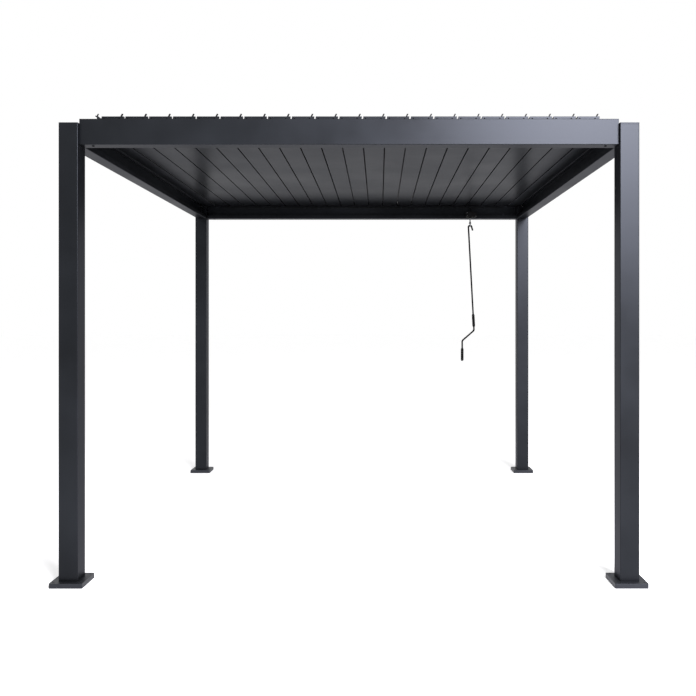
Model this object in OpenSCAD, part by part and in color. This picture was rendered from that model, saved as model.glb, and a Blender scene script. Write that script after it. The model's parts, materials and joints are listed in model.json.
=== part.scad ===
// Free-standing louvred-roof gazebo: four posts on base plates, four gutter beams,
// a roof of tilting blades joined by a link bar, and a hanging crank that drives them.
// Millimetres, +Z up, origin on the floor at the centre of the plan.

/* [Overall] */
// width over the outer faces of the posts
frame_w = 3000; // [2900:10:3100]
// depth over the outer faces of the posts
frame_d = 3000; // [2900:10:3100]
// height of the post tops above the floor
post_top = 2395; // [2300:5:2500]

/* [Posts] */
// outer size of the square post
post_size = 100; // [90:1:110]
// wall of the post tube
post_wall = 2.4; // [1.6:0.2:4]
// outer corner radius of the post tube
post_round = 4; // [2:0.5:8]
// thickness of the lid on each post
cap_t = 8; // [4:1:14]

/* [Base plates] */
// side of the square base plate
plate_size = 172; // [150:1:190]
// thickness of the base plate
plate_t = 25; // [15:1:30]
// distance between anchor holes along one side
anchor_pitch = 136; // [124:1:144]
// diameter of an anchor hole
anchor_d = 11; // [8:0.5:14]
// corner radius of the base plate
plate_round = 6; // [3:1:12]

/* [Beams] */
// height of the beam
beam_h = 134; // [124:1:144]
// how far the beam rises above the post top
beam_rise = 24; // [16:1:32]
// step from the outer face of the post to the outer face of the beam
beam_step = 20; // [10:1:26]
// thickness of the hollow upright of the beam
web_t = 35; // [30:1:40]
// wall of the beam profile
beam_wall = 3; // [2:0.2:4]
// height of the inner lip of the gutter
lip_h = 30; // [22:1:32]
// radius of the outer edges of the beam profile
beam_round = 3; // [1.5:0.5:4]

/* [Louvres] */
// fixed strip between the side beam and the field of blades
side_strip = 132.5; // [110:0.5:150]
// height of the hollow blade body
blade_h = 45; // [38:1:48]
// how far the left flank leans in over the body height
lean_left = 7; // [6:0.5:10]
// how far the right flank leans in over the body height
lean_right = 2; // [1:0.5:6]
// gap between two closed blades
blade_gap = 7.5; // [6:0.1:9]
// wall of the blade profile
blade_wall = 1.4; // [1:0.1:2]
// reach of the rain flange over the next blade
rain_reach = 24; // [23:0.5:28]
// rise of the rain flange over its reach
rain_rise = 11; // [10:0.5:14]
// length at the front end that the rain flange leaves free
rain_trim = 100; // [60:5:140]
// height of the ear at each blade end
ear_h = 14; // [10:1:18]
// height of the pivot above the blade underside
pivot_rise = 8; // [7:0.5:11]
// depth of the pivot below the beam top
pivot_drop = 12; // [11:0.5:14]
// radius of the pivot pin
pin_r = 5; // [3.5:0.25:5]
// wall of an end cap
cap_wall = 4; // [2:0.5:6]

/* [Louvre drive] */
// throw of the arms that carry the link bar
arm_r = 24; // [23:0.5:26]
// height of the flat link bar
bar_h = 14; // [11:0.5:14]
// thickness of the flat link bar
bar_t = 3; // [2:0.5:4]
// which blade stands over the gearbox
drive_blade = 19; // [17:1:20]
// outside width of the gearbox
gear_w = 96; // [92:1:104]
// outside depth of the gearbox
gear_d = 46; // [40:1:56]
// height of the gearbox
gear_h = 46; // [40:1:50]

/* [Crank] */
// radius of the crank rod
rod_r = 7; // [5:0.25:8]
// length from the hook down to the first bend
rod_len = 926; // [800:2:1000]
// sideways lean of the hanging rod over that length
rod_lean = 50; // [36:1:60]
// sideways offset of the cranked handle
crank_throw = 106; // [80:1:130]
// length of a grip sleeve
grip_len = 104; // [80:1:120]
// outer radius of a grip sleeve
grip_r = 12; // [10:0.5:14]

/* [Hidden] */
$fn = 48;
// clearances: round fits, and a blade's sweep beside a fixed strip
run_fit = 0.3;
sweep_fit = 5.5;
// number of blades, one node for each
blade_count = 21;
// heights
beam_top = post_top + beam_rise;
beam_z = beam_top - beam_h;
pivot_z = beam_top - pivot_drop;
blade_z = pivot_z - pivot_rise;
// plan positions
half_w = frame_w / 2;
half_d = frame_d / 2;
post_x = half_w - post_size / 2;
post_y = half_d - post_size / 2;
beam_w = post_size - beam_step;
web_y = half_d - beam_step - web_t;
web_x = half_w - beam_step - web_t;
lip_y = half_d - post_size;
lip_x = half_w - post_size;
// louvre ends: bush on the web, then a running gap, then the blade
bush_t = 8;
bush_r = 11;
run_gap = 7;
blade_front = -(web_y - bush_t - run_gap);
bar_back = web_y - bush_t - 6;
bar_front = bar_back - bar_t;
blade_back = bar_front - 8;
// the blades share the width between the side strips
blade_pitch = 2 * (web_x - side_strip) / blade_count;
blade_w = blade_pitch - blade_gap;
blade_l = -blade_w / 2;
blade_r = blade_w / 2;
first_x = -(blade_count - 1) / 2 * blade_pitch;
function blade_x(i) = first_x + (i - 1) * blade_pitch;
// the arms hang at 45 degrees and swing through the lowest point
arm_off = arm_r * sin(45);
arm_pin_r = 3.5;
arm_eye_r = 8;
// side flashings
flash_t = 3;
flash_low = 18;
hem_w = 12;
drip_in = 30;
drip_h = 6;
drip_y = lip_y - 5;
ear_t = 8;
blade_sweep = norm([blade_l + lean_left, blade_h - pivot_rise]);
flash_edge = blade_x(blade_count) + blade_sweep + sweep_fit;
// gearbox below its blade: worm to the left, output shaft to the right
gear_reach = 46;
worm_x = blade_x(drive_blade) - 29;
gear_x = worm_x + gear_reach;
gear_z = beam_z + 42;
gear_top = beam_z + 54;
lever_t = 4;
lever_front = blade_back - 2;
worm_y = lip_y - 28;
// eye under the gearbox
eye_r = 14;
eye_wire = 3.5;
eye_z = gear_top - gear_h - 85;
// hook and rod in the plane y = worm_y, a touch fuller in the bends
bend_swell = 0.5;
bend_wire = rod_r + bend_swell;
hook_r = eye_wire + bend_wire + run_fit + 3.2;
crown_z = eye_z + eye_wire + run_fit + bend_wire;
hook_z = crown_z - hook_r;
bend_r = 26;
collar_t = 4;
collar_r = rod_r + 3;
grip_gap = 0.6;
grip_rise = 38;
p_hook = [worm_x - hook_r, hook_z];
p_knee = [p_hook.x + rod_lean, hook_z - rod_len];
p_elbow = [p_knee.x - crank_throw, p_knee.y - crank_throw * 0.87];
p_end = [p_elbow.x, p_elbow.y - 176];
rod_dir = (p_knee - p_hook) / norm(p_knee - p_hook);
grip_top = p_knee - rod_dir * (grip_len + grip_rise);

// square with true round corners, centred
module rounded_square(size, r) {
    square([size, size - 2 * r], center = true);
    square([size - 2 * r, size], center = true);
    for (x = [-1, 1], y = [-1, 1])
        translate([x * (size / 2 - r), y * (size / 2 - r)])
            circle(r);
}

// rectangle with true round corners, from its lower left corner
module rounded_rect(w, h, r) {
    translate([0, r])
        square([w, h - 2 * r]);
    translate([r, 0])
        square([w - 2 * r, h]);
    for (x = [r, w - r], y = [r, h - r])
        translate([x, y])
            circle(r);
}

// post tube standing on its base plate
module post(sx, sy) {
    color("#3a3d42")
        translate([sx * post_x, sy * post_y, plate_t])
            linear_extrude(post_top - cap_t - plate_t)
                difference() {
                    rounded_square(post_size, post_round);
                    rounded_square(post_size - 2 * post_wall, post_round - post_wall / 2);
                }
}

// four plates with anchor holes
module base_plates() {
    color("#35383d")
        for (sx = [-1, 1], sy = [-1, 1])
            translate([sx * post_x, sy * post_y, 0])
                linear_extrude(plate_t)
                    difference() {
                        rounded_square(plate_size, plate_round);
                        for (x = [-1, 1], y = [-1, 1])
                            translate([x * anchor_pitch / 2, y * anchor_pitch / 2])
                                circle(d = anchor_d);
                    }
}

// lids that close the post tubes
module post_caps() {
    color("#2b2d31")
        for (sx = [-1, 1], sy = [-1, 1])
            translate([sx * post_x, sy * post_y, post_top - cap_t])
                linear_extrude(cap_t)
                    rounded_square(post_size, post_round);
}

// outline of the beam: hollow upright, gutter floor and inner lip, round on its outer edges
module beam_outline() {
    difference() {
        rounded_rect(beam_w, beam_h, beam_round);
        translate([web_t, beam_wall])
            square([beam_w - web_t - beam_wall, beam_h]);
        translate([web_t, lip_h])
            square([beam_w, beam_h]);
    }
}

// beam of a given length along X, outer face at y = 0, closed at both ends
module beam(length) {
    difference() {
        rotate([90, 0, 90])
            translate([0, 0, -length / 2])
                linear_extrude(length)
                    beam_outline();
        translate([-length / 2 + beam_wall, beam_wall, beam_wall])
            cube([length - 2 * beam_wall, web_t - 2 * beam_wall, beam_h - 2 * beam_wall]);
    }
}

module front_beam() {
    color("#3f4247")
        translate([0, -half_d + beam_step, beam_z])
            beam(frame_w - 2 * post_size);
}

module back_beam() {
    color("#3f4247")
        mirror([0, 1, 0])
            translate([0, -half_d + beam_step, beam_z])
                beam(frame_w - 2 * post_size);
}

module left_beam() {
    color("#3f4247")
        translate([-half_w + beam_step, 0, beam_z])
            rotate([0, 0, -90])
                beam(frame_d - 2 * post_size);
}

module right_beam() {
    color("#3f4247")
        translate([half_w - beam_step, 0, beam_z])
            rotate([0, 0, 90])
                beam(frame_d - 2 * post_size);
}

// outline of a side strip: flange on the beam, floor, and hemmed upstand beside the end blade
module flashing_outline(upstand) {
    reach = web_x - flash_edge;
    square([reach, flash_t]);
    square([flash_t, beam_top - blade_z]);
    translate([reach - flash_t, 0])
        square([flash_t, upstand]);
    translate([reach - hem_w, upstand - flash_t])
        square([hem_w, flash_t]);
}

// fixed strip that closes the roof beside the end blade, cut back at the posts, with a drip edge
module flashing(sx, upstand) {
    color("#34373b")
        translate([sx * web_x, web_y, blade_z])
            mirror([sx > 0 ? 1 : 0, 0, 0])
                rotate([90, 0, 0]) {
                    difference() {
                        linear_extrude(2 * web_y)
                            flashing_outline(upstand);
                        for (z = [-1, web_y + lip_y])
                            translate([-1, -1, z])
                                cube([web_x - lip_x + 1, beam_h, web_y - lip_y + 1]);
                    }
                    translate([drip_in, -drip_h, web_y - drip_y])
                        linear_extrude(2 * drip_y)
                            square([flash_t, drip_h + 1]);
                }
}

// outline of the ear that stands on a blade end, leaning to the right from x = 0
module ear_outline() {
    polygon([
        [0, -blade_wall * 0.7],
        [4, -blade_wall * 0.7],
        [4 + ear_h / 2, ear_h],
        [ear_h / 2, ear_h]
    ]);
}

// low strip on the right
module right_flashing() {
    flashing(1, flash_low);
}

// strip on the left, as tall as the blades and with an ear at each end
module left_flashing() {
    color("#34373b") {
        flashing(-1, blade_h);
        for (y = [blade_front + ear_t, blade_back])
            translate([-flash_edge - hem_w + 1, y, blade_z + blade_h])
                rotate([90, 0, 0])
                    linear_extrude(ear_t)
                        ear_outline();
    }
}

// one row of plain bearings on the inner face of a beam
module bushes(y0) {
    color("#1b1c1e")
        for (i = [1 : blade_count])
            translate([blade_x(i), y0, pivot_z])
                rotate([-90, 0, 0])
                    difference() {
                        cylinder(r = bush_r, h = bush_t);
                        translate([0, 0, -1])
                            cylinder(r = pin_r + run_fit, h = bush_t + 2);
                    }
}

// blade profile about the pivot: both flanks lean in towards the top
function in_left(h) = lean_left * h / blade_h;
function in_right(h) = lean_right * h / blade_h;
module blade_profile() {
    v = -pivot_rise;
    polygon([
        [blade_l, v],
        [blade_r, v],
        [blade_r - lean_right, v + blade_h],
        [blade_l + lean_left, v + blade_h]
    ]);
}

// rain flange from the top right edge over the next blade
module rain_profile() {
    x = blade_r - lean_right;
    z = blade_h - pivot_rise;
    polygon([
        [x - 8, z - blade_wall / 2],
        [x - 0.5, z - blade_wall / 2],
        [x + rain_reach, z + rain_rise],
        [x + rain_reach, z + rain_rise + 2],
        [x + rain_reach - 2, z + rain_rise + 2],
        [x - 3, z + 2],
        [x - 8, z + 2]
    ]);
}

// hollow of the blade, walls inside the same flanks
module blade_hollow() {
    v = -pivot_rise;
    w = blade_wall;
    polygon([
        [blade_l + in_left(w) + w, v + w],
        [blade_r - in_right(w) - w, v + w],
        [blade_r - in_right(blade_h - w) - w, v + blade_h - w],
        [blade_l + in_left(blade_h - w) + w, v + blade_h - w]
    ]);
}

// louvre: hollow blade with closed ends, rain flange, ears, pivot pins and the arm for the link bar
module louvre(i) {
    len = blade_back - blade_front;
    color("#46494e")
        translate([blade_x(i), 0, pivot_z]) {
            rotate([90, 0, 0])
                translate([0, 0, -blade_back])
                    difference() {
                        linear_extrude(len)
                            blade_profile();
                        translate([0, 0, cap_wall])
                            linear_extrude(len - 2 * cap_wall)
                                blade_hollow();
                    }
            rotate([90, 0, 0])
                translate([0, 0, -blade_back])
                    linear_extrude(len - rain_trim)
                        rain_profile();
            for (y = [blade_front + ear_t, blade_back])
                translate([blade_r - lean_right - 10, y, blade_h - pivot_rise])
                    rotate([90, 0, 0])
                        linear_extrude(ear_t)
                            ear_outline();
            translate([0, blade_front - bush_t - run_gap + 0.5, 0])
                rotate([-90, 0, 0])
                    cylinder(r = pin_r, h = bush_t + run_gap);
            translate([0, blade_back - 0.5, 0])
                rotate([-90, 0, 0])
                    cylinder(r = pin_r, h = web_y - blade_back);
            translate([-arm_off, blade_back - cap_wall, -arm_off])
                rotate([-90, 0, 0])
                    cylinder(r = arm_eye_r, h = cap_wall);
            translate([-arm_off - arm_eye_r, blade_back - cap_wall, -arm_off])
                cube([2 * arm_eye_r, cap_wall, arm_off - pivot_rise + 1]);
            translate([-arm_off, blade_back - 1, -arm_off])
                rotate([-90, 0, 0])
                    cylinder(r = arm_pin_r, h = bar_back - blade_back + 3);
        }
}

// outline of the link bar about the pivot line: bar, leaning strap and pin holes
module link_outline() {
    x0 = blade_x(1) - arm_off;
    x1 = blade_x(blade_count) - arm_off;
    strap = [gear_x - arm_off, gear_z - pivot_z - arm_off];
    strap_lean = 28;
    strap_w = 2 * arm_eye_r - 1;
    rise = -arm_off - strap.y;
    difference() {
        union() {
            translate([x0 - bar_h, -arm_off - bar_h / 2])
                square([x1 - x0 + 2 * bar_h, bar_h]);
            translate(strap)
                rotate(atan2(strap_lean, rise))
                    translate([-strap_w / 2, 0])
                        square([strap_w, norm([strap_lean, rise])]);
            translate(strap)
                circle(arm_eye_r);
        }
        for (i = [1 : blade_count])
            translate([blade_x(i) - arm_off, -arm_off])
                circle(arm_pin_r + run_fit);
        translate(strap)
            circle(arm_pin_r + run_fit);
    }
}

// flat bar over all arm pins, with a strap down to the gearbox lever
module link_bar() {
    color("#1d1e20")
        translate([0, bar_back, pivot_z])
            rotate([90, 0, 0])
                linear_extrude(bar_t)
                    link_outline();
}

// worm gearbox on the gutter lip: block, round cover, worm neck and output bore
module gearbox() {
    y0 = lip_y - gear_d;
    color("#17181a")
        difference() {
            union() {
                translate([worm_x - gear_w * 0.38, lip_y, gear_top - gear_h])
                    rotate([90, 0, 0])
                        linear_extrude(gear_d)
                            rounded_rect(gear_w, gear_h, 8);
                translate([gear_x, y0, gear_z - 7])
                    rotate([90, 0, 0])
                        cylinder(r = 16, h = 4);
                translate([worm_x, worm_y, gear_top - gear_h - 8])
                    cylinder(r = 13, h = 12);
            }
            translate([gear_x, lip_y + 1, gear_z])
                rotate([90, 0, 0])
                    cylinder(r = 6 + run_fit, h = 21);
            translate([worm_x, worm_y, gear_top - gear_h - 9])
                cylinder(r = 5 + run_fit, h = 25);
        }
}

// outline of the lever: hub, arm and eye about the output shaft
module lever_outline() {
    circle(9);
    rotate(-135)
        translate([0, -5])
            square([arm_r, 10]);
    translate([-arm_off, -arm_off])
        circle(7);
}

// output shaft and lever that move the link bar
module drive_lever() {
    mid = lever_front + lever_t / 2;
    color("#9a9c9f") {
        translate([gear_x, lever_front + lever_t, gear_z])
            rotate([90, 0, 0])
                linear_extrude(lever_t)
                    lever_outline();
        translate([gear_x, lip_y - 18, gear_z])
            rotate([-90, 0, 0])
                cylinder(r = 6, h = mid - lip_y + 18);
        translate([gear_x - arm_off, mid, gear_z - arm_off])
            rotate([-90, 0, 0])
                cylinder(r = arm_pin_r, h = bar_back - mid + 2);
    }
}

// stem, cone and ring that the crank hooks into
module drive_eye() {
    neck_z = gear_top - gear_h - 8;
    cone_z = eye_z + 2 * eye_r - 1;
    color("#a9abad") {
        translate([worm_x, worm_y, cone_z + 20])
            cylinder(r = 5, h = neck_z + 20 - cone_z - 20);
        translate([worm_x, worm_y, cone_z])
            cylinder(r1 = 12, r2 = 5, h = 21);
        translate([worm_x, worm_y, eye_z + eye_r])
            rotate([0, 90, 0])
                rotate_extrude()
                    translate([eye_r, 0])
                        circle(eye_wire);
    }
}

// round bar from a to b in the crank plane
module bar_between(a, b, r) {
    d = b - a;
    translate([a.x, 0, a.y])
        rotate([0, atan2(d.x, d.y), 0])
            cylinder(r = r, h = norm(d));
}

// signed turn from direction p to direction q
function turn(p, q) = atan2(p.x * q.y - p.y * q.x, p.x * q.x + p.y * q.y);

// true bend at corner c between two straight runs, a touch fuller than the rod
module bend(a, c, b) {
    p = (c - a) / norm(c - a);
    q = (b - c) / norm(b - c);
    t = turn(p, q);
    s = t > 0 ? 1 : -1;
    n = [-p.y * s, p.x * s];
    start = c - p * bend_r * tan(abs(t) / 2);
    o = start + n * bend_r;
    a0 = atan2(start.y - o.y, start.x - o.x);
    translate([o.x, 0, o.y])
        rotate([90, 0, 0])
            rotate([0, 0, t > 0 ? a0 : a0 + t])
                rotate_extrude(angle = abs(t))
                    translate([bend_r, 0])
                        circle(bend_wire);
}

// length taken from each straight run by the bend at c
function bend_trim(a, c, b) = bend_r * tan(abs(turn(c - a, b - c)) / 2);

// hooked and cranked rod with the collars that hold the grips
module crank_rod() {
    lap = 1.5;
    tip = [worm_x + hook_r + 9, hook_z - 30];
    tip_dir = (tip - [worm_x + hook_r, hook_z]) / norm(tip - [worm_x + hook_r, hook_z]);
    throw_dir = (p_elbow - p_knee) / norm(p_elbow - p_knee);
    k1 = bend_trim(p_hook, p_knee, p_elbow) - lap;
    k2 = bend_trim(p_knee, p_elbow, p_end) - lap;
    grip_end = grip_top + rod_dir * (grip_len + 2 * grip_gap);
    low_top = p_end + [0, grip_len + 2 * grip_gap];
    color("#141517")
        translate([0, worm_y, 0]) {
            translate([worm_x, 0, hook_z])
                rotate([90, 0, 0])
                    rotate_extrude(angle = 180)
                        translate([hook_r, 0])
                            circle(bend_wire);
            bar_between(tip - tip_dir * (norm(tip - [worm_x + hook_r, hook_z]) + lap), tip, rod_r);
            bar_between(p_hook - rod_dir * lap, p_knee - rod_dir * k1, rod_r);
            bend(p_hook, p_knee, p_elbow);
            bar_between(p_knee + throw_dir * k1, p_elbow - throw_dir * k2, rod_r);
            bend(p_knee, p_elbow, p_end);
            bar_between(p_elbow - [0, k2], p_end - [0, collar_t - 1], rod_r);
            bar_between(grip_top - rod_dir * collar_t, grip_top, collar_r);
            bar_between(grip_end, grip_end + rod_dir * collar_t, collar_r);
            bar_between(p_end - [0, collar_t], p_end, collar_r);
            bar_between(low_top, low_top + [0, collar_t], collar_r);
        }
}

// turning sleeve with rounded shoulders, axis along +Z from the origin
module grip_sleeve() {
    rotate_extrude()
        polygon([
            [rod_r + run_fit, 0],
            [grip_r - 2.5, 0],
            [grip_r, 4],
            [grip_r, grip_len - 4],
            [grip_r - 2.5, grip_len],
            [rod_r + run_fit, grip_len]
        ]);
}

module upper_grip() {
    p = grip_top + rod_dir * grip_gap;
    color("#101112")
        translate([p.x, worm_y, p.y])
            rotate([0, atan2(rod_dir.x, rod_dir.y), 0])
                grip_sleeve();
}

module lower_grip() {
    color("#101112")
        translate([p_end.x, worm_y, p_end.y + grip_gap])
            grip_sleeve();
}

post(-1, -1);  // front_left_post
post(1, -1);  // front_right_post
post(-1, 1);  // back_left_post
post(1, 1);  // back_right_post
base_plates();
post_caps();
front_beam();
back_beam();
left_beam();
right_beam();
left_flashing();
right_flashing();
bushes(-web_y);  // front_bushes
bushes(web_y - bush_t);  // back_bushes
louvre(1);  // louvre_01
louvre(2);  // louvre_02
louvre(3);  // louvre_03
louvre(4);  // louvre_04
louvre(5);  // louvre_05
louvre(6);  // louvre_06
louvre(7);  // louvre_07
louvre(8);  // louvre_08
louvre(9);  // louvre_09
louvre(10);  // louvre_10
louvre(11);  // louvre_11
louvre(12);  // louvre_12
louvre(13);  // louvre_13
louvre(14);  // louvre_14
louvre(15);  // louvre_15
louvre(16);  // louvre_16
louvre(17);  // louvre_17
louvre(18);  // louvre_18
louvre(19);  // louvre_19
louvre(20);  // louvre_20
louvre(21);  // louvre_21
link_bar();
gearbox();
drive_lever();
drive_eye();
crank_rod();
upper_grip();
lower_grip();
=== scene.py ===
"""Looks of a free-standing louvred-roof gazebo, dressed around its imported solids.

Everything is in metres in the frame of the solids: +X right, +Y back, +Z up, floor at zero.
"""

import json
import logging
import math
from dataclasses import dataclass, field
from enum import Enum
from typing import Any, Callable, Dict, List, Optional, Sequence, Tuple

import bmesh
import bpy
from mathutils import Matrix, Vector

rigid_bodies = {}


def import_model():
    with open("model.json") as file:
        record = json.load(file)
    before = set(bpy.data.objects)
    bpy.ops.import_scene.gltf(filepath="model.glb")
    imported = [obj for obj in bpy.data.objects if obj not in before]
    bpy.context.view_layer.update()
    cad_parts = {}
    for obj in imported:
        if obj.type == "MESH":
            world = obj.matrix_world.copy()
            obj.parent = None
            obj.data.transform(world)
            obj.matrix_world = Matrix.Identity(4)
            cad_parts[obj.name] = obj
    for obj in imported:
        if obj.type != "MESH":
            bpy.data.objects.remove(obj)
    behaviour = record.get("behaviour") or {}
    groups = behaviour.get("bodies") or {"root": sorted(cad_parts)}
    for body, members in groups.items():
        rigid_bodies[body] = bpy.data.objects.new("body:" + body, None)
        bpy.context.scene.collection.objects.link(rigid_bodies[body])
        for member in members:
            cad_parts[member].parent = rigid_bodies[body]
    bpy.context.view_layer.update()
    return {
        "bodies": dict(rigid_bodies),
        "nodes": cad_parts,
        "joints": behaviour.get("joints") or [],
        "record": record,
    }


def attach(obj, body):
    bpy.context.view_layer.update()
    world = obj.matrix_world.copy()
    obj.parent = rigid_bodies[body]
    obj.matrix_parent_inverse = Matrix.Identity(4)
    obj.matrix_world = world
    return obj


LOG = logging.getLogger("gazebo")
MM = 0.001
Point = Tuple[float, float, float]
Outline = List[Tuple[float, float]]
Spots = List[Tuple[Point, Point]]
CORNERS = ((-1.0, -1.0), (-1.0, 1.0), (1.0, -1.0), (1.0, 1.0))
DOWN, FORWARD, BACKWARD = (0.0, 0.0, -1.0), (0.0, -1.0, 0.0), (0.0, 1.0, 0.0)
# colour sockets of a Mix node
FACTOR, FIRST, SECOND, MIXED = 0, 6, 7, 2
# part of a noise's range that carries most of its area
SPREAD = {"From Min": 0.3, "From Max": 0.7}
# cosine between a face and its rounded edge where the painted edge highlight starts and where it is
# strongest
EDGE_TURN = {"From Min": 0.995, "From Max": 0.8}
WHITE = (1.0, 1.0, 1.0, 1.0)
# width of a screw head's top to its foot, and how far up the head the middle of its socket lies
HEAD_TOP, SOCKET_MIDDLE = 0.72, 0.85
HEAD_SIDES, SOCKET_SIDES, RING_SIDES, WIRE_SIDES = 24, 6, 28, 8


class Slot(str, Enum):
    """Material slots of the record."""

    POST = "post_coat"
    BEAM = "beam_coat"
    LOUVRE = "louvre_coat"
    BUSH = "bush_plastic"
    GEARBOX = "gearbox_casing"
    BAR = "bar_coat"
    ZINC = "zinc_steel"
    CRANK = "crank_coat"
    GRIP = "grip_plastic"


class Side(Enum):
    """Ends of the roof, with the direction that faces outwards along Y."""

    FRONT = -1.0
    BACK = 1.0


def linear(code: str) -> Tuple[float, float, float, float]:
    """Turn an sRGB hex colour into linear RGBA.

    Args:
        code: Colour as "#rrggbb".

    Returns:
        Linear red, green, blue and an alpha of one.
    """
    parts = [int(code[i : i + 2], 16) / 255.0 for i in (1, 3, 5)]
    red, green, blue = (c / 12.92 if c <= 0.04045 else ((c + 0.055) / 1.055) ** 2.4 for c in parts)
    return red, green, blue, 1.0


def add_node(
    tree: bpy.types.NodeTree,
    kind: str,
    settings: Optional[Dict[str, Any]] = None,
    inputs: Optional[Dict[Any, Any]] = None,
) -> bpy.types.Node:
    """Add one node with its settings, socket values and links.

    Args:
        tree: Shader or geometry tree that gets the node.
        kind: Blender's type name of the node.
        settings: Properties of the node by name.
        inputs: Socket values by name or index; an output socket is linked instead.

    Returns:
        The new node.
    """
    node = tree.nodes.new(kind)
    for name, value in (settings or {}).items():
        setattr(node, name, value)
    for key, value in (inputs or {}).items():
        if isinstance(value, bpy.types.NodeSocket):
            tree.links.new(value, node.inputs[key])
        else:
            node.inputs[key].default_value = value
    return node


def new_material(name: str) -> Tuple[bpy.types.Material, bpy.types.NodeTree, bpy.types.Node]:
    """Start a node material with a Principled surface.

    Args:
        name: Name of the material, the real material and how it was finished.

    Returns:
        Material, its tree and its Principled node.
    """
    material = bpy.data.materials.new(name)
    material.use_nodes = True
    tree = material.node_tree
    return material, tree, tree.nodes["Principled BSDF"]


def blend_tones(
    tree: bpy.types.NodeTree,
    pattern: bpy.types.NodeSocket,
    first: str,
    second: str,
    most: float = 1.0,
) -> bpy.types.NodeSocket:
    """Blend two colours by a noise.

    Args:
        tree: Tree that gets the nodes.
        pattern: Noise that says where each colour lies.
        first: Colour where the noise is low, as "#rrggbb".
        second: Colour where the noise is high.
        most: Largest share of the second colour.

    Returns:
        The blended colour.
    """
    share = add_node(
        tree,
        "ShaderNodeMapRange",
        inputs={"Value": pattern, **SPREAD, "To Min": 0.0, "To Max": most},
    ).outputs["Result"]
    return add_node(
        tree,
        "ShaderNodeMix",
        {"data_type": "RGBA"},
        {FACTOR: share, FIRST: linear(first), SECOND: linear(second)},
    ).outputs[MIXED]


def vary_roughness(
    tree: bpy.types.NodeTree,
    shader: bpy.types.Node,
    pattern: bpy.types.NodeSocket,
    limits: Tuple[float, float],
) -> None:
    """Let a noise vary the roughness of a surface.

    Args:
        tree: Tree that gets the node.
        shader: Principled node of the surface.
        pattern: Noise that says where the surface is smooth and where it is rough.
        limits: Least and greatest roughness.
    """
    varied = add_node(
        tree,
        "ShaderNodeMapRange",
        inputs={"Value": pattern, **SPREAD, "To Min": limits[0], "To Max": limits[1]},
    ).outputs["Result"]
    tree.links.new(varied, shader.inputs["Roughness"])


def seen_directly(tree: bpy.types.NodeTree) -> bpy.types.NodeSocket:
    """Tell rays that show a thing, straight or by a mirror or glass, from rays that light others.

    Args:
        tree: Tree that gets the nodes.

    Returns:
        One for camera, glossy and transmission rays and zero for the others.
    """
    path = add_node(tree, "ShaderNodeLightPath")
    shown = add_node(
        tree,
        "ShaderNodeMath",
        {"operation": "MAXIMUM"},
        {0: path.outputs["Is Camera Ray"], 1: path.outputs["Is Glossy Ray"]},
    ).outputs["Value"]
    return add_node(
        tree,
        "ShaderNodeMath",
        {"operation": "MAXIMUM"},
        {0: shown, 1: path.outputs["Is Transmission Ray"]},
    ).outputs["Value"]


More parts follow.
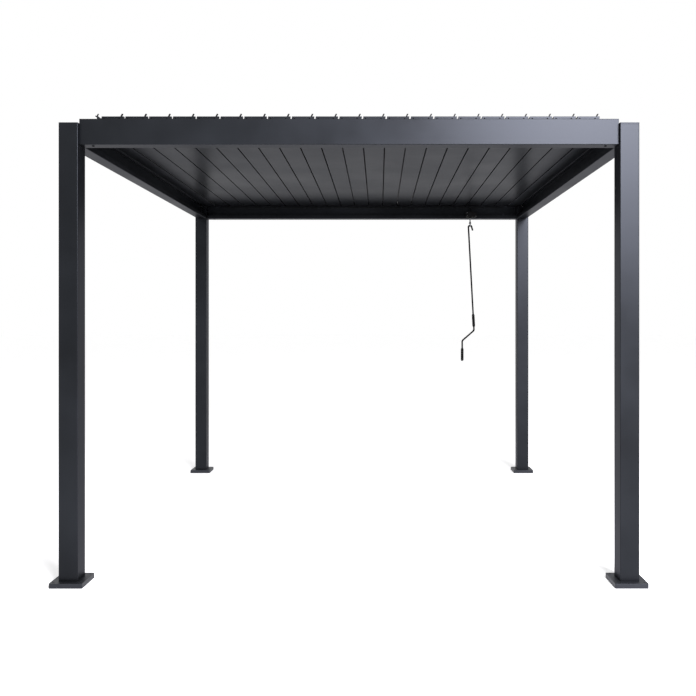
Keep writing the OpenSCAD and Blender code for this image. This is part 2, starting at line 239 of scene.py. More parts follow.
@dataclass(frozen=True)
class PowderCoat:
    """Powder coat baked on aluminium or steel, with metal flakes in it unless metallic is zero.

    The fine grain breaks the gloss into a soft sheen and the film clouds a little from end to end.
    The rounded edges get a painted highlight, a paler colour. The grazing colour is what the flakes
    mirror at a low angle. Painted shade darkens the joints of a coat that has a crevice size.
    """

    name: str
    colour: str
    cloud_and_highlight_colour: str
    grazing_colour: str = "#c2c2c6"
    metallic: float = 0.8
    roughness: Tuple[float, float] = (0.36, 0.44)
    grain_mm: float = 1.6
    grain_height_mm: float = 0.03
    cloud_mm: float = 420.0
    edge_mm: float = 1.6
    gloss: float = 0.5
    painted_shade_mm: float = 0.0
    cloud_share: float = 0.35
    speckle_share: float = 0.25
    speckle_dark: float = 0.6
    highlight_share: float = 0.6
    grain_bump: float = 0.35

    def build(self) -> bpy.types.Material:
        """Build the coat.

        Returns:
            The finished material.
        """
        material, tree, shader = new_material(self.name)
        place = add_node(tree, "ShaderNodeTexCoord").outputs["Object"]
        # the real grain is about 0.3 mm and is drawn coarser so that it shows
        grain = add_node(
            tree,
            "ShaderNodeTexNoise",
            inputs={
                "Vector": place,
                "Scale": 1.0 / (self.grain_mm * MM),
                "Detail": 2.0,
                "Roughness": 0.55,
            },
        ).outputs["Fac"]
        cloud = add_node(
            tree,
            "ShaderNodeTexNoise",
            inputs={
                "Vector": place,
                "Scale": 1.0 / (self.cloud_mm * MM),
                "Detail": 3.0,
                "Roughness": 0.5,
            },
        ).outputs["Fac"]
        tone = blend_tones(tree, cloud, self.colour, self.cloud_and_highlight_colour, self.cloud_share)
        shade = add_node(
            tree,
            "ShaderNodeMapRange",
            inputs={"Value": grain, **SPREAD, "To Min": self.speckle_dark, "To Max": 1.0},
        ).outputs["Result"]
        speckle = add_node(
            tree,
            "ShaderNodeMix",
            {"data_type": "RGBA", "blend_type": "MULTIPLY"},
            {FACTOR: self.speckle_share, FIRST: tone, SECOND: shade},
        ).outputs[MIXED]
        # painted highlight: a paler colour on the rounded edges, where they would catch the light
        rounded = add_node(
            tree, "ShaderNodeBevel", {"samples": 6}, {"Radius": self.edge_mm * MM}
        ).outputs["Normal"]
        flat = add_node(tree, "ShaderNodeNewGeometry").outputs["Normal"]
        turn = add_node(
            tree, "ShaderNodeVectorMath", {"operation": "DOT_PRODUCT"}, {0: rounded, 1: flat}
        ).outputs["Value"]
        edge = add_node(
            tree,
            "ShaderNodeMapRange",
            {"clamp": True},
            {"Value": turn, **EDGE_TURN, "To Min": 0.0, "To Max": self.highlight_share},
        ).outputs["Result"]
        # painted highlight: the paler colour is mixed in where the edge mask is high
        painted_light_tone = add_node(
            tree,
            "ShaderNodeMix",
            {"data_type": "RGBA"},
            {FACTOR: edge, FIRST: speckle, SECOND: linear(self.cloud_and_highlight_colour)},
        ).outputs[MIXED]
        bump = add_node(
            tree,
            "ShaderNodeBump",
            inputs={
                "Strength": self.grain_bump,
                "Distance": self.grain_height_mm * MM,
                "Height": grain,
                "Normal": rounded,
            },
        ).outputs["Normal"]
        if self.painted_shade_mm > 0.0:
            # painted shade: ambient occlusion darkens the colour deep in the joints
            painted_light_tone = add_node(
                tree,
                "ShaderNodeAmbientOcclusion",
                {"samples": 6},
                {"Color": painted_light_tone, "Distance": self.painted_shade_mm * MM},
            ).outputs["Color"]
        tree.links.new(painted_light_tone, shader.inputs["Base Color"])
        vary_roughness(tree, shader, cloud, self.roughness)
        tree.links.new(bump, shader.inputs["Normal"])
        shader.inputs["Metallic"].default_value = self.metallic
        shader.inputs["Specular IOR Level"].default_value = self.gloss
        shader.inputs["Specular Tint"].default_value = linear(self.grazing_colour)
        return material


@dataclass(frozen=True)
class MouldedPlastic:
    """Black plastic from a spark-eroded mould: an even fine grain and a dull sheen."""

    name: str
    colour: str
    grain_colour: str
    roughness: Tuple[float, float] = (0.5, 0.65)
    grain_mm: float = 0.9
    grain_height_mm: float = 0.05
    ior: float = 1.49
    gloss: float = 0.15
    grain_bump: float = 0.4

    def build(self) -> bpy.types.Material:
        """Build the plastic.

        Returns:
            The finished material.
        """
        material, tree, shader = new_material(self.name)
        place = add_node(tree, "ShaderNodeTexCoord").outputs["Object"]
        grain = add_node(
            tree,
            "ShaderNodeTexNoise",
            inputs={"Vector": place, "Scale": 1.0 / (self.grain_mm * MM), "Detail": 3.0},
        ).outputs["Fac"]
        tone = blend_tones(tree, grain, self.colour, self.grain_colour)
        bump = add_node(
            tree,
            "ShaderNodeBump",
            inputs={
                "Strength": self.grain_bump,
                "Distance": self.grain_height_mm * MM,
                "Height": grain,
            },
        ).outputs["Normal"]
        tree.links.new(tone, shader.inputs["Base Color"])
        vary_roughness(tree, shader, grain, self.roughness)
        tree.links.new(bump, shader.inputs["Normal"])
        shader.inputs["IOR"].default_value = self.ior
        shader.inputs["Specular IOR Level"].default_value = self.gloss
        return material


@dataclass(frozen=True)
class BareMetal:
    """Uncoated metal: drawn lines along one axis and a slight clouding of the tone."""

    name: str
    colour: str
    dark_colour: str
    roughness: Tuple[float, float]
    line_mm: float
    stretch: Point
    line_height_mm: float = 0.02
    line_bump: float = 0.25

    def build(self) -> bpy.types.Material:
        """Build the metal.

        Returns:
            The finished material.
        """
        material, tree, shader = new_material(self.name)
        place = add_node(tree, "ShaderNodeTexCoord").outputs["Object"]
        drawn = add_node(
            tree, "ShaderNodeMapping", inputs={"Vector": place, "Scale": self.stretch}
        ).outputs["Vector"]
        lines = add_node(
            tree,
            "ShaderNodeTexNoise",
            inputs={"Vector": drawn, "Scale": 1.0 / (self.line_mm * MM), "Detail": 4.0},
        ).outputs["Fac"]
        tone = blend_tones(tree, lines, self.dark_colour, self.colour)
        bump = add_node(
            tree,
            "ShaderNodeBump",
            inputs={
                "Strength": self.line_bump,
                "Distance": self.line_height_mm * MM,
                "Height": lines,
            },
        ).outputs["Normal"]
        tree.links.new(tone, shader.inputs["Base Color"])
        vary_roughness(tree, shader, lines, self.roughness)
        tree.links.new(bump, shader.inputs["Normal"])
        shader.inputs["Metallic"].default_value = 1.0
        return material


@dataclass(frozen=True)
class StudioFloor:
    """Matt white floor that keeps the shadow and reads as white to the camera."""

    name: str = "matt_white_studio_floor"
    colour: str = "#f2f2f2"
    cloud_colour: str = "#efefef"
    cloud_scale: float = 0.8
    lift: float = 0.45
    roughness: float = 0.9
    gloss: float = 0.1

    def build(self) -> bpy.types.Material:
        """Build the floor.

        Returns:
            The finished material.
        """
        material, tree, shader = new_material(self.name)
        place = add_node(tree, "ShaderNodeTexCoord").outputs["Object"]
        cloud = add_node(
            tree,
            "ShaderNodeTexNoise",
            inputs={"Vector": place, "Scale": self.cloud_scale, "Detail": 2.0},
        ).outputs["Fac"]
        tone = blend_tones(tree, cloud, self.cloud_colour, self.colour)
        lift = add_node(
            tree,
            "ShaderNodeMath",
            {"operation": "MULTIPLY"},
            {0: seen_directly(tree), 1: self.lift},
        ).outputs["Value"]
        tree.links.new(tone, shader.inputs["Base Color"])
        tree.links.new(lift, shader.inputs["Emission Strength"])
        shader.inputs["Emission Color"].default_value = WHITE
        shader.inputs["Roughness"].default_value = self.roughness
        shader.inputs["Specular IOR Level"].default_value = self.gloss
        return material


class Finishes:
    """All finishes of the object, built once and found by slot or by a piece's name."""

    def __init__(self) -> None:
        """Build every material."""
        # the second colour clouds the coat and is also the painted highlight on its rounded edges
        coat = {"colour": "#1d1f22", "cloud_and_highlight_colour": "#34373c"}
        self.by_slot: Dict[Slot, bpy.types.Material] = {
            Slot.POST: PowderCoat("anthracite_powder_coat_on_posts", **coat).build(),
            Slot.BEAM: PowderCoat("anthracite_powder_coat_on_beams", **coat).build(),
            Slot.LOUVRE: PowderCoat(
                "anthracite_powder_coat_on_louvres",
                "#26282b",
                "#383a3e",
                "#b0b0b3",
                roughness=(0.28, 0.36),
                edge_mm=0.4,
                # painted shade in the joints between the blades
                painted_shade_mm=30.0,
            ).build(),
            Slot.BUSH: MouldedPlastic("black_moulded_nylon", "#0b0b0c", "#151617").build(),
            Slot.GEARBOX: MouldedPlastic(
                "black_moulded_gearbox_nylon",
                "#070708",
                "#101011",
                (0.7, 0.8),
            ).build(),
            Slot.BAR: PowderCoat(
                "black_powder_coat_on_flat_bar",
                "#111213",
                "#202123",
                metallic=0.0,
                edge_mm=0.5,
                gloss=0.15,
            ).build(),
            Slot.ZINC: BareMetal(
                "bright_zinc_plate_on_steel",
                "#b4b6b8",
                "#85888c",
                (0.22, 0.38),
                line_mm=3.0,
                stretch=(1.0, 1.0, 0.6),
            ).build(),
            Slot.CRANK: PowderCoat(
                "black_powder_coat_on_steel_rod",
                "#070708",
                "#101112",
                metallic=0.0,
                roughness=(0.7, 0.8),
                edge_mm=0.4,
                gloss=0.1,
            ).build(),
            Slot.GRIP: MouldedPlastic(
                "black_moulded_polypropylene_grip",
                "#070707",
                "#0f0f10",
                (0.75, 0.85),
            ).build(),
        }
        # painted light: the flat plates get a paler copy of the post coat with a white grazing
        # colour, so they show paler than the posts
        self.by_name: Dict[str, bpy.types.Material] = {
            "base_plates": PowderCoat(
                "dusty_powder_coat_on_base_plates",
                "#2e3035",
                "#46494f",
                "#ffffff",
                roughness=(0.46, 0.56),
            ).build()
        }

    def dress(self, piece: bpy.types.Object, slot: Slot) -> None:
        """Put one finish on a whole piece.

        Args:
            piece: Mesh object to dress.
            slot: Slot whose finish it gets, unless it has one of its own.
        """
        piece.data.materials.clear()
        piece.data.materials.append(self.by_name.get(piece.name, self.by_slot[slot]))

    def dress_nodes(self, frame: Dict[str, Any], slot: Slot, names: Sequence[str]) -> None:
        """Put one finish on solids of the frame.

        Args:
            frame: The loaded frame.
            slot: Slot whose finish they get.
            names: Nodes to dress.
        """
        for name in names:
            self.dress(frame["nodes"][name], slot)
            LOG.info("%s dressed in %s", name, slot.value)


def add_object(name: str, data: bpy.types.ID) -> bpy.types.Object:
    """Add an object to the scene, at the origin.

    Args:
        name: Name of the object.
        data: Its mesh, light or camera.

    Returns:
        The new object.
    """
    added = bpy.data.objects.new(name, data)
    bpy.context.scene.collection.objects.link(added)
    return added


def mesh_piece(name: str, shape: bmesh.types.BMesh) -> bpy.types.Object:
    """Turn a bmesh into an object at the origin.

    Args:
        name: Name of the piece.
        shape: Finished shape in the frame of the solids; it is freed.

    Returns:
        The new object.
    """
    bmesh.ops.recalc_face_normals(shape, faces=shape.faces)
    mesh = bpy.data.meshes.new(name)
    shape.to_mesh(mesh)
    shape.free()
    return add_object(name, mesh)


def seat(piece: bpy.types.Object, body: str, slot: Slot) -> None:
    """Let a piece ride on a body and name its finish.

    Args:
        piece: Finished piece.
        body: Body that carries it.
        slot: Slot that its finish comes from.
    """
    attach(piece, body)
    LOG.info("%s rides on %s in %s", piece.name, body, slot.value)


class RepeatTree:
    """A Geometry Nodes tree that sets one small turned shape on many points."""

    SEED = 7

    def __init__(
        self,
        name: str,
        sizes: Dict[str, float],
        shape: Callable[[bpy.types.NodeTree, bpy.types.Node], bpy.types.NodeSocket],
    ) -> None:
        """Build the tree.

        Args:
            name: Name of the tree.
            sizes: Named size inputs and their defaults, in metres.
            shape: Function that adds the shape's nodes and returns its geometry socket.
        """
        self.tree = bpy.data.node_groups.new(name, "GeometryNodeTree")
        face = self.tree.interface
        face.new_socket("Geometry", in_out="INPUT", socket_type="NodeSocketGeometry")
        face.new_socket("Geometry", in_out="OUTPUT", socket_type="NodeSocketGeometry")
        self.ids: Dict[str, str] = {}
        for label, default in sizes.items():
            socket = face.new_socket(label, in_out="INPUT", socket_type="NodeSocketFloat")
            socket.default_value = default
            self.ids[label] = socket.identifier
        seed = face.new_socket("Seed", in_out="INPUT", socket_type="NodeSocketInt")
        seed.default_value = self.SEED
        self.ids["Seed"] = seed.identifier
        finish = face.new_socket("Finish", in_out="INPUT", socket_type="NodeSocketMaterial")
        self.ids["Finish"] = finish.identifier
        start = add_node(self.tree, "NodeGroupInput")
        made = shape(self.tree, start)
        axis = add_node(
            self.tree,
            "GeometryNodeInputNamedAttribute",
            {"data_type": "FLOAT_VECTOR"},
            {"Name": "axis"},
        ).outputs["Attribute"]
        aim = add_node(
            self.tree, "FunctionNodeAlignRotationToVector", {"axis": "Z"}, {"Vector": axis}
        ).outputs["Rotation"]
        placed = add_node(
            self.tree,
            "GeometryNodeInstanceOnPoints",
            inputs={"Points": start.outputs["Geometry"], "Instance": made, "Rotation": aim},
        ).outputs["Instances"]
        twist = add_node(
            self.tree,
            "FunctionNodeRandomValue",
            {"data_type": "FLOAT"},
            {2: 0.0, 3: math.tau, "Seed": start.outputs["Seed"]},
        )
        spin = add_node(
            self.tree, "ShaderNodeCombineXYZ", inputs={"Z": twist.outputs[1]}
        ).outputs["Vector"]
        turned = add_node(
            self.tree,
            "GeometryNodeRotateInstances",
            inputs={"Instances": placed, "Rotation": spin},
        ).outputs["Instances"]
        solid = add_node(self.tree, "GeometryNodeRealizeInstances", inputs={"Geometry": turned})
        coated = add_node(
            self.tree,
            "GeometryNodeSetMaterial",
            inputs={"Geometry": solid.outputs["Geometry"], "Material": start.outputs["Finish"]},
        )
        add_node(self.tree, "NodeGroupOutput", inputs={"Geometry": coated.outputs["Geometry"]})

    def make(
        self,
        name: str,
        spots: Spots,
        finish: bpy.types.Material,
        sizes: Optional[Dict[str, float]] = None,
    ) -> bpy.types.Object:
        """Set the shape on a list of spots and keep the result as a plain mesh.

        Args:
            name: Name of the piece.
            spots: Place and outward axis of each shape.
            finish: Material of the shapes.
            sizes: Size inputs that differ from the tree's own.

        Returns:
            The plain mesh object, with no modifier left on it.
        """
        points = bpy.data.meshes.new(name + "_points")
        points.from_pydata([spot for spot, _ in spots], [], [])
        axis = points.attributes.new("axis", "FLOAT_VECTOR", "POINT")
        axis.data.foreach_set("vector", [c for _, way in spots for c in way])
        carrier = add_object(name + "_points", points)
        modifier = carrier.modifiers.new("repeat", "NODES")
        modifier.node_group = self.tree
        for label, value in (sizes or {}).items():
            modifier[self.ids[label]] = value
        modifier[self.ids["Finish"]] = finish
        graph = bpy.context.evaluated_depsgraph_get()
        mesh = bpy.data.meshes.new_from_object(carrier.evaluated_get(graph))
        carrier.modifiers.remove(modifier)
        bpy.data.objects.remove(carrier)
        bpy.data.meshes.remove(points)
        mesh.name = name
        return add_object(name, mesh)


def screw_shape(tree: bpy.types.NodeTree, start: bpy.types.Node) -> bpy.types.NodeSocket:
    """Add the nodes of a button head with a hexagon socket, its base on the surface.

    Args:
        tree: Tree that gets the nodes.
        start: Its group input.

    Returns:
        Geometry socket of one head.
    """
    radius, height = start.outputs["Head Radius"], start.outputs["Head Height"]
    top = add_node(
        tree, "ShaderNodeMath", {"operation": "MULTIPLY"}, {0: radius, 1: HEAD_TOP}
    ).outputs["Value"]
    head = add_node(
        tree,
        "GeometryNodeMeshCone",
        inputs={
            "Vertices": HEAD_SIDES,
            "Radius Top": top,
            "Radius Bottom": radius,
            "Depth": height,
        },
    ).outputs["Mesh"]
    hexagon = add_node(
        tree,
        "GeometryNodeMeshCylinder",
        inputs={
            "Vertices": SOCKET_SIDES,
            "Radius": start.outputs["Socket Radius"],
            "Depth": height,
        },
    ).outputs["Mesh"]
    middle = add_node(
        tree, "ShaderNodeMath", {"operation": "MULTIPLY"}, {0: height, 1: SOCKET_MIDDLE}
    ).outputs["Value"]
    lift = add_node(tree, "ShaderNodeCombineXYZ", inputs={"Z": middle}).outputs["Vector"]
    lifted = add_node(
        tree, "GeometryNodeTransform", inputs={"Geometry": hexagon, "Translation": lift}
    ).outputs["Geometry"]
    return add_node(
        tree,
        "GeometryNodeMeshBoolean",
        {"operation": "DIFFERENCE"},
        {"Mesh 1": head, "Mesh 2": lifted},
    ).outputs["Mesh"]


def ring_shape(tree: bpy.types.NodeTree, start: bpy.types.Node) -> bpy.types.NodeSocket:
    """Add the nodes of a round ring about the axis, such as a grip rib or a spring clip.

    Args:
        tree: Tree that gets the nodes.
        start: Its group input.

    Returns:
        Geometry socket of one ring.
    """
    loop, wire = (
        add_node(
            tree,
            "GeometryNodeCurvePrimitiveCircle",
            inputs={"Resolution": sides, "Radius": start.outputs[label]},
        ).outputs["Curve"]
        for sides, label in ((RING_SIDES, "Ring Radius"), (WIRE_SIDES, "Wire Radius"))
    )
    return add_node(
        tree, "GeometryNodeCurveToMesh", inputs={"Curve": loop, "Profile Curve": wire}
    ).outputs["Mesh"]


@dataclass
class Frame:
    """Posts, plates, lids, beams, side strips and bearings, with beam screws and corner seals."""

    half: float = 1.5
    post: float = 0.1
    beam_step: float = 0.02
    beam_floor: float = 2.285
    screw_inset: float = 0.06
    screw_line: float = 0.033
    strip_z: float = 2.399
    seal_run: float = 0.044
    seal_lap: float = 0.004
    seal_gap: float = 0.0002
    seal_depth: float = 0.005
    nodes: Dict[Slot, List[str]] = field(
        default_factory=lambda: {
            Slot.POST: [
                "front_left_post",
                "front_right_post",
                "back_left_post",
                "back_right_post",
                "base_plates",
                "post_caps",
            ],
            Slot.BEAM: [
                "front_beam",
                "back_beam",
                "left_beam",
                "right_beam",
                "left_flashing",
                "right_flashing",
            ],
            Slot.BUSH: ["front_bushes", "back_bushes"],
        }
    )

    def dress(self, frame: Dict[str, Any], finishes: Finishes) -> None:
        """Put the coats on the fixed solids.

        Args:
            frame: The loaded frame.
            finishes: All finishes.
        """
        for slot, names in self.nodes.items():
            finishes.dress_nodes(frame, slot, names)

    def beam_screws(self, screws: RepeatTree, finishes: Finishes) -> None:
        """Set the screws under both ends of each beam.

        Args:
            screws: Tree of the screw heads.
            finishes: All finishes.
        """
        along = self.half - self.post - self.screw_inset
        across = self.half - self.beam_step - self.screw_line
        spots: Spots = []
        for a, b in CORNERS:
            spots.append(((a * along, b * across, self.beam_floor), DOWN))
            spots.append(((a * across, b * along, self.beam_floor), DOWN))
        piece = screws.make("beam_screws", spots, finishes.by_slot[Slot.CRANK])
        seat(piece, "frame", Slot.CRANK)

    def corner_seals(self, finishes: Finishes) -> None:
        """Lay an angle of foam strip between the side strips and each post.

        Args:
            finishes: All finishes.
        """
        shape = bmesh.new()
        inner = self.half - self.post
        near, far = inner - self.seal_lap, inner - self.seal_gap
        for a, b in CORNERS:
            for along, across in ((self.seal_run, 0.0), (0.0, self.seal_run)):
                low = (a * near, b * near, self.strip_z - self.seal_depth)
                high = (a * (far + along), b * (far + across), self.strip_z)
                for vert in bmesh.ops.create_cube(shape, size=1.0)["verts"]:
                    vert.co = [end if c > 0 else start for c, start, end in zip(vert.co, low, high)]
        piece = mesh_piece("corner_seals", shape)
        finishes.dress(piece, Slot.BUSH)
        seat(piece, "frame", Slot.BUSH)


@dataclass
class Louvres:
    """The field of blades with end caps in the beams' coat, black end lips and cap screws."""

    count: int = 21
    pitch: float = 0.125
    pivot_z: float = 2.407
    front: float = -1.43
    back: float = 1.42
    rise: float = 0.008
    height: float = 0.045
    lean_left: float = 0.007
    lean_right: float = 0.002
    gap: float = 0.0075
    proud: float = 0.0003
    cap: float = 0.012
    cap_flank: float = 0.0006
    cap_face: float = 0.0012
    ear_h: float = 0.014
    ear_w: float = 0.004
    ear_t: float = 0.0085
    ear_inset: float = 0.010
    ear_skin: float = 0.0016
    ear_round: float = 0.0012
    lip_flank: float = -0.0004
    lip_face: float = 0.0008
    lip_draft: float = 0.0008
    lip_root: float = 0.001
    wing_fit: float = 0.0009
    wing_low: float = 0.006
    front_lip: float = 0.008
    brow_reach: float = 0.021
    brow_low: float = 0.0022
    brow_high: float = 0.009
    screw_places: Tuple[Tuple[float, float], ...] = ((-0.04, 0.026), (0.04, 0.026), (0.04, 0.002))
    screw_sizes: Dict[str, float] = field(
        default_factory=lambda: {
            "Head Radius": 0.0036,
            "Head Height": 0.0016,
            "Socket Radius": 0.0016,
        }
    )

    @property
    def half(self) -> float:
        """Half the width of a body at its foot."""
        return (self.pitch - self.gap) / 2

    @property
    def top(self) -> float:
        """Height of a body's top over its pivot."""
        return self.height - self.rise

    def names(self) -> List[str]:
        """Names of the blade bodies from left to right."""
        return [f"louvre_{i:02d}" for i in range(1, self.count + 1)]

    def pivot_x(self, index: int) -> float:
        """Place of a blade's pivot along X, counted from one."""
        return (index - 1 - (self.count - 1) / 2) * self.pitch

    def end_y(self, side: Side) -> float:
        """Place of the blades' end along Y."""
        return self.front if side is Side.FRONT else self.back

    def outline(self, grow: float) -> Outline:
        """Outline of the hollow body about its pivot.

        Args:
            grow: How far the outline stands outside the body.

        Returns:
            Corners in X and Z, anticlockwise seen from the front.
        """
        return [
            (-self.half - grow, -self.rise - grow),
            (self.half + grow, -self.rise - grow),
            (self.half - self.lean_right + grow, self.top + grow),
            (-self.half + self.lean_left - grow, self.top + grow),
        ]

    def front_outline(self, grow: float) -> Outline:
        """Outline of the front cap, whose right edge reaches out over the joint.

        Args:
            grow: How far the outline stands outside the body.

        Returns:
            Corners in X and Z, anticlockwise seen from the front.
        """
        corners = self.outline(grow)
        reach, top = corners[2]
        corners[2] = (reach + self.front_lip, top)
        return corners

    def ear(self, grow: float) -> Outline:
        """Outline of the cover over the leaning ear on a blade end.

        Args:
            grow: How far the outline stands outside the ear.

        Returns:
            Corners in X and Z, anticlockwise seen from the front.
        """
        foot = self.half - self.lean_right - self.ear_inset
        top = self.top + self.ear_h
        lean = self.ear_h / 2
        return [
            (foot - grow, self.top),
            (foot + self.ear_w + grow, self.top),
            (foot + self.ear_w + lean + grow, top),
            (foot + lean - grow, top),
        ]

    def wing(self, grow: float) -> Outline:
        """Outline of the wing that closes the back end of the joint to the next blade.

        Args:
            grow: How far the outline stands outside its own size.

        Returns:
            Corners in X and Z, anticlockwise seen from the front.
        """
        low, top = self.wing_low, self.top
        foot, head = (
            self.pitch - self.half + self.lean_left * (z + self.rise) / self.height - self.wing_fit
            for z in (low, top)
        )
        inside = self.half - self.lean_right - self.lip_root
        return [
            (inside, low - grow),
            (foot + grow, low - grow),
            (head + grow, top),
            (inside, top),
        ]

    def brow(self, grow: float) -> Outline:
        """Outline of the wedge over the wing that fills the room under the rain flange.

        Args:
            grow: How far the outline stands outside its own size.

        Returns:
            Corners in X and Z, anticlockwise seen from the front.
        """
        edge = self.half - self.lean_right
        reach = edge + self.brow_reach
        return [
            (edge - self.lip_root, self.top - self.lip_root),
            (reach + grow, self.top + self.brow_low),
            (reach + grow, self.top + self.brow_high),
            (edge, self.top),
        ]

    def stack(
        self,
        shape: bmesh.types.BMesh,
        index: int,
        side: Side,
        outline: Callable[[float], Outline],
        steps: Tuple[Tuple[float, float], ...],
    ) -> None:
        """Stack grown copies of an outline along a blade end into one closed shape.

        Args:
            shape: Shape that takes the faces.
            index: Number of the blade, from one.
            side: End of the blade.
            outline: Function that gives the outline for a growth.
            steps: Depth beyond the blade's end and growth of each copy, from the inside out.
        """
        x = self.pivot_x(index)
        loops = []
        for depth, grow in steps:
            y = self.end_y(side) + side.value * depth
            loops.append([shape.verts.new((x + u, y, self.pivot_z + v)) for u, v in outline(grow)])
        corners = len(loops[0])
        for inner, outer in zip(loops, loops[1:]):
            for k in range(corners):
                n = (k + 1) % corners
                shape.faces.new((inner[k], inner[n], outer[n], outer[k]))
        shape.faces.new(loops[-1])
        shape.faces.new(loops[0])

    def end_caps(self, index: int) -> bpy.types.Object:
        """Model the two caps that close one blade.

        Args:
            index: Number of the blade, from one.

        Returns:
            The piece with both caps.
        """
        shape = bmesh.new()
        steps = (
            (-self.cap, 0.0),
            (-self.cap, self.proud),
            (self.cap_flank, self.proud),
            (self.cap_face, 0.0),
        )
        self.stack(shape, index, Side.FRONT, self.front_outline, steps)
        self.stack(shape, index, Side.BACK, self.outline, steps)
        return mesh_piece(f"louvre_{index:02d}_end_caps", shape)

    def end_lips(self, index: int) -> bpy.types.Object:
        """Model the moulded covers of the ears, and the wing and wedge that close the joint behind.

        Args:
            index: Number of the blade, from one.

        Returns:
            The piece with all lips of the blade.
        """
        shape = bmesh.new()
        ear_steps = (
            (-self.ear_t, self.ear_skin),
            (self.lip_flank, self.ear_skin),
            (self.lip_face, self.ear_skin - self.ear_round),
        )
        for side in Side:
            self.stack(shape, index, side, self.ear, ear_steps)
        joint_steps = (
            (-self.ear_t, self.proud),
            (self.lip_flank, self.proud),
            (self.lip_face, -self.lip_draft),
        )
        if index < self.count:
            for outline in (self.wing, self.brow):
                self.stack(shape, index, Side.BACK, outline, joint_steps)
        return mesh_piece(f"louvre_{index:02d}_end_lips", shape)

    def cap_spots(self, index: int) -> Spots:
        """Places of the cap screws of one blade.

        Args:
            index: Number of the blade, from one.

        Returns:
            Place and outward axis of each screw.
        """
        x = self.pivot_x(index)
        spots: Spots = []
        for side in Side:
            y = self.end_y(side) + side.value * self.cap_face
            for dx, dz in self.screw_places:
                spots.append(((x + dx, y, self.pivot_z + dz), (0.0, side.value, 0.0)))
        return spots

    def build(self, frame: Dict[str, Any], finishes: Finishes, screws: RepeatTree) -> None:
        """Dress the blades and add their caps, lips and screws.

        Args:
            frame: The loaded frame.
            finishes: All finishes.
            screws: Tree of the screw heads.
        """
        black = finishes.by_slot[Slot.CRANK]
        for index, body in enumerate(self.names(), 1):
            finishes.dress_nodes(frame, Slot.LOUVRE, [body])
            for model, slot in ((self.end_caps, Slot.BEAM), (self.end_lips, Slot.BUSH)):
                piece = model(index)
                finishes.dress(piece, slot)
                seat(piece, body, slot)
            spots = self.cap_spots(index)
            heads = screws.make(body + "_cap_screws", spots, black, self.screw_sizes)
            seat(heads, body, Slot.CRANK)


@dataclass
class Drive:
    """Link bar, gearbox, lever, ring, crank and its two grips."""

    arm: float = 0.024
    arm_angle: float = 45.0
    bar_back: float = 1.431
    clip_radius: float = 0.0048
    clip_wire: float = 0.0008
    gear_front: float = 1.354
    worm_x: float = 0.971
    worm_share: float = 0.38
    gear_w: float = 0.096
    gear_top: float = 2.339
    gear_h: float = 0.046
    screw_inset: float = 0.009
    screw_sizes: Dict[str, float] = field(
        default_factory=lambda: {
            "Head Radius": 0.004,
            "Head Height": 0.002,
            "Socket Radius": 0.0018,
        }
    )
    rib_count: int = 11
    rib_span: float = 0.084
    rib_radius: float = 0.012
    rib_wire: float = 0.0011
    nodes: Dict[Slot, List[str]] = field(
        default_factory=lambda: {
            Slot.BAR: ["link_bar"],
            Slot.GEARBOX: ["gearbox"],
            Slot.ZINC: ["drive_lever", "drive_eye"],
            Slot.CRANK: ["crank_rod"],
            Slot.GRIP: ["upper_grip", "lower_grip"],
        }
    )

    def dress(self, frame: Dict[str, Any], finishes: Finishes) -> None:
        """Put the finishes on the drive's solids.

        Args:
            frame: The loaded frame.
            finishes: All finishes.
        """
        for slot, names in self.nodes.items():
            finishes.dress_nodes(frame, slot, names)

    def gear_screws(self, screws: RepeatTree, finishes: Finishes) -> None:
        """Set the four cover screws of the gearbox.

        Args:
            screws: Tree of the screw heads.
            finishes: All finishes.
        """
        left = self.worm_x - self.worm_share * self.gear_w
        foot = self.gear_top - self.gear_h
        spots = [
            ((x, self.gear_front, z), FORWARD)
            for x in (left + self.screw_inset, left + self.gear_w - self.screw_inset)
            for z in (self.gear_top - self.screw_inset, foot + self.screw_inset)
        ]
        zinc = finishes.by_slot[Slot.ZINC]
        piece = screws.make("gearbox_screws", spots, zinc, self.screw_sizes)
        seat(piece, "frame", Slot.ZINC)

    def pin_clips(self, rings: RepeatTree, finishes: Finishes, louvres: Louvres) -> None:
        """Set a spring clip behind the bar on each arm pin.

        Args:
            rings: Tree of the rings.
            finishes: All finishes.
            louvres: The blades whose pins carry the clips.
        """
        # the arms hang to the left, so a pin lies as far beside its pivot as below it
        offset = self.arm * math.sin(math.radians(self.arm_angle))
        y, z = self.bar_back + self.clip_wire, louvres.pivot_z - offset
        spots = [
            ((louvres.pivot_x(i) - offset, y, z), BACKWARD) for i in range(1, louvres.count + 1)
        ]
        sizes = {"Ring Radius": self.clip_radius, "Wire Radius": self.clip_wire}
        piece = rings.make("link_bar_clips", spots, finishes.by_slot[Slot.ZINC], sizes)
        seat(piece, "link_bar", Slot.ZINC)

    def grip_ribs(self, frame: Dict[str, Any], rings: RepeatTree, finishes: Finishes) -> None:
        """Set the moulded ribs round both grips.

        Args:
            frame: The loaded frame.
            rings: Tree of the rings.
            finishes: All finishes.
        """
        sizes = {"Ring Radius": self.rib_radius, "Wire Radius": self.rib_wire}
        for joint in frame["joints"]:
            if not joint["name"].endswith("_grip_spin"):
                continue
            middle, way = Vector(joint["pos_m"]), Vector(joint["axis"]).normalized()
            spots: Spots = []
            for k in range(self.rib_count):
                at = middle + way * self.rib_span * (k / (self.rib_count - 1) - 0.5)
                spots.append((tuple(at), tuple(way)))
            body = joint["child"]
            piece = rings.make(body + "_ribs", spots, finishes.by_slot[Slot.GRIP], sizes)
            seat(piece, body, Slot.GRIP)


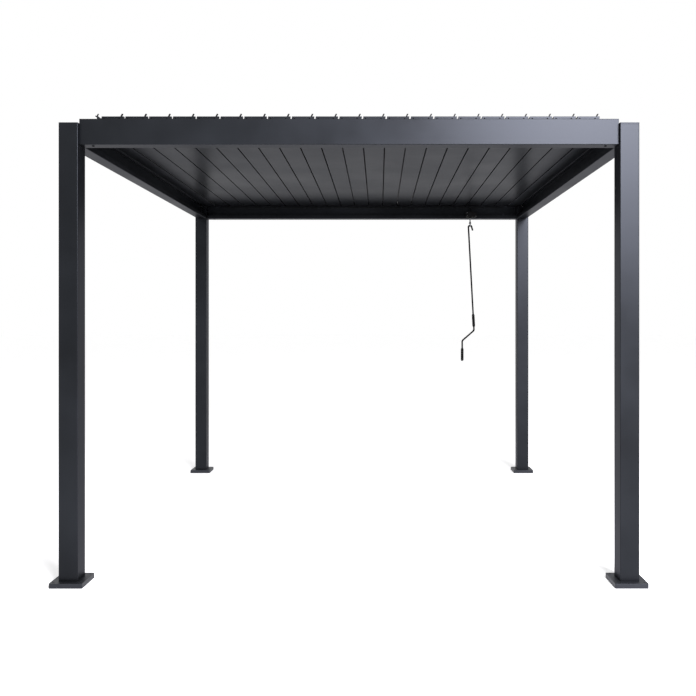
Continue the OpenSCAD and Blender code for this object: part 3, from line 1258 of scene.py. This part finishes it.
@dataclass
class Studio:
    """White floor, even room light, one softbox and the camera of the photo."""

    camera_at: Point = (0.156, -5.393, 1.378)
    lens: float = 39.01
    sensor: float = 36.0
    shift: Tuple[float, float] = (-0.0448, -0.0412)
    softbox_at: Point = (2.55, -6.2, 4.1)
    softbox_aim: Point = (1.1, -1.4, 2.0)
    softbox_size: Tuple[float, float] = (2.6, 2.6)
    softbox_power: float = 900.0
    softbox_colour: Point = (0.96, 0.935, 1.0)
    ambient: float = 0.6
    floor_half: float = 60.0
    floor_cells: int = 8

    def floor(self) -> None:
        """Lay the floor."""
        shape = bmesh.new()
        cells = self.floor_cells
        bmesh.ops.create_grid(shape, x_segments=cells, y_segments=cells, size=self.floor_half)
        floor = mesh_piece("studio_floor", shape)
        floor.data.materials.append(StudioFloor().build())

    def world(self) -> None:
        """Light the room evenly and show it white behind the object."""
        world = bpy.data.worlds.new("white_studio")
        world.use_nodes = True
        tree = world.node_tree
        back = tree.nodes["Background"]
        strength = add_node(
            tree,
            "ShaderNodeMapRange",
            inputs={"Value": seen_directly(tree), "To Min": self.ambient, "To Max": 1.0},
        ).outputs["Result"]
        back.inputs["Color"].default_value = WHITE
        tree.links.new(strength, back.inputs["Strength"])
        bpy.context.scene.world = world

    def softbox(self) -> None:
        """Hang the broad, slightly violet softbox high in front on the right."""
        light = bpy.data.lights.new("softbox_right", "AREA")
        light.shape = "RECTANGLE"
        light.size, light.size_y = self.softbox_size
        light.energy = self.softbox_power
        light.color = self.softbox_colour
        lamp = add_object("softbox_right", light)
        lamp.location = self.softbox_at
        aim = Vector(self.softbox_aim) - Vector(self.softbox_at)
        lamp.rotation_euler = aim.to_track_quat("-Z", "Y").to_euler()
        lamp.visible_camera = False

    def camera(self) -> None:
        """Set the camera where the photo was taken from."""
        data = bpy.data.cameras.new("photo_camera")
        data.sensor_width = self.sensor
        data.lens = self.lens
        data.shift_x, data.shift_y = self.shift
        camera = add_object("photo_camera", data)
        camera.location = self.camera_at
        camera.rotation_euler = (math.radians(90.0), 0.0, 0.0)
        bpy.context.scene.camera = camera

    def build(self) -> None:
        """Build the whole studio."""
        self.floor()
        self.world()
        self.softbox()
        self.camera()
        bpy.context.scene.view_settings.view_transform = "Standard"


def main() -> None:
    """Build the scene in order."""
    logging.basicConfig(level=logging.INFO, format="%(message)s")
    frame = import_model()
    finishes = Finishes()
    screws = RepeatTree(
        "hexagon_screw_heads",
        {"Head Radius": 0.0075, "Head Height": 0.0035, "Socket Radius": 0.003},
        screw_shape,
    )
    rings = RepeatTree("round_rings", {"Ring Radius": 0.012, "Wire Radius": 0.001}, ring_shape)
    structure, louvres, drive = Frame(), Louvres(), Drive()
    structure.dress(frame, finishes)
    structure.beam_screws(screws, finishes)
    structure.corner_seals(finishes)
    louvres.build(frame, finishes, screws)
    drive.dress(frame, finishes)
    drive.gear_screws(screws, finishes)
    drive.pin_clips(rings, finishes, louvres)
    drive.grip_ribs(frame, rings, finishes)
    Studio().build()


if __name__ == "__main__":
    main()
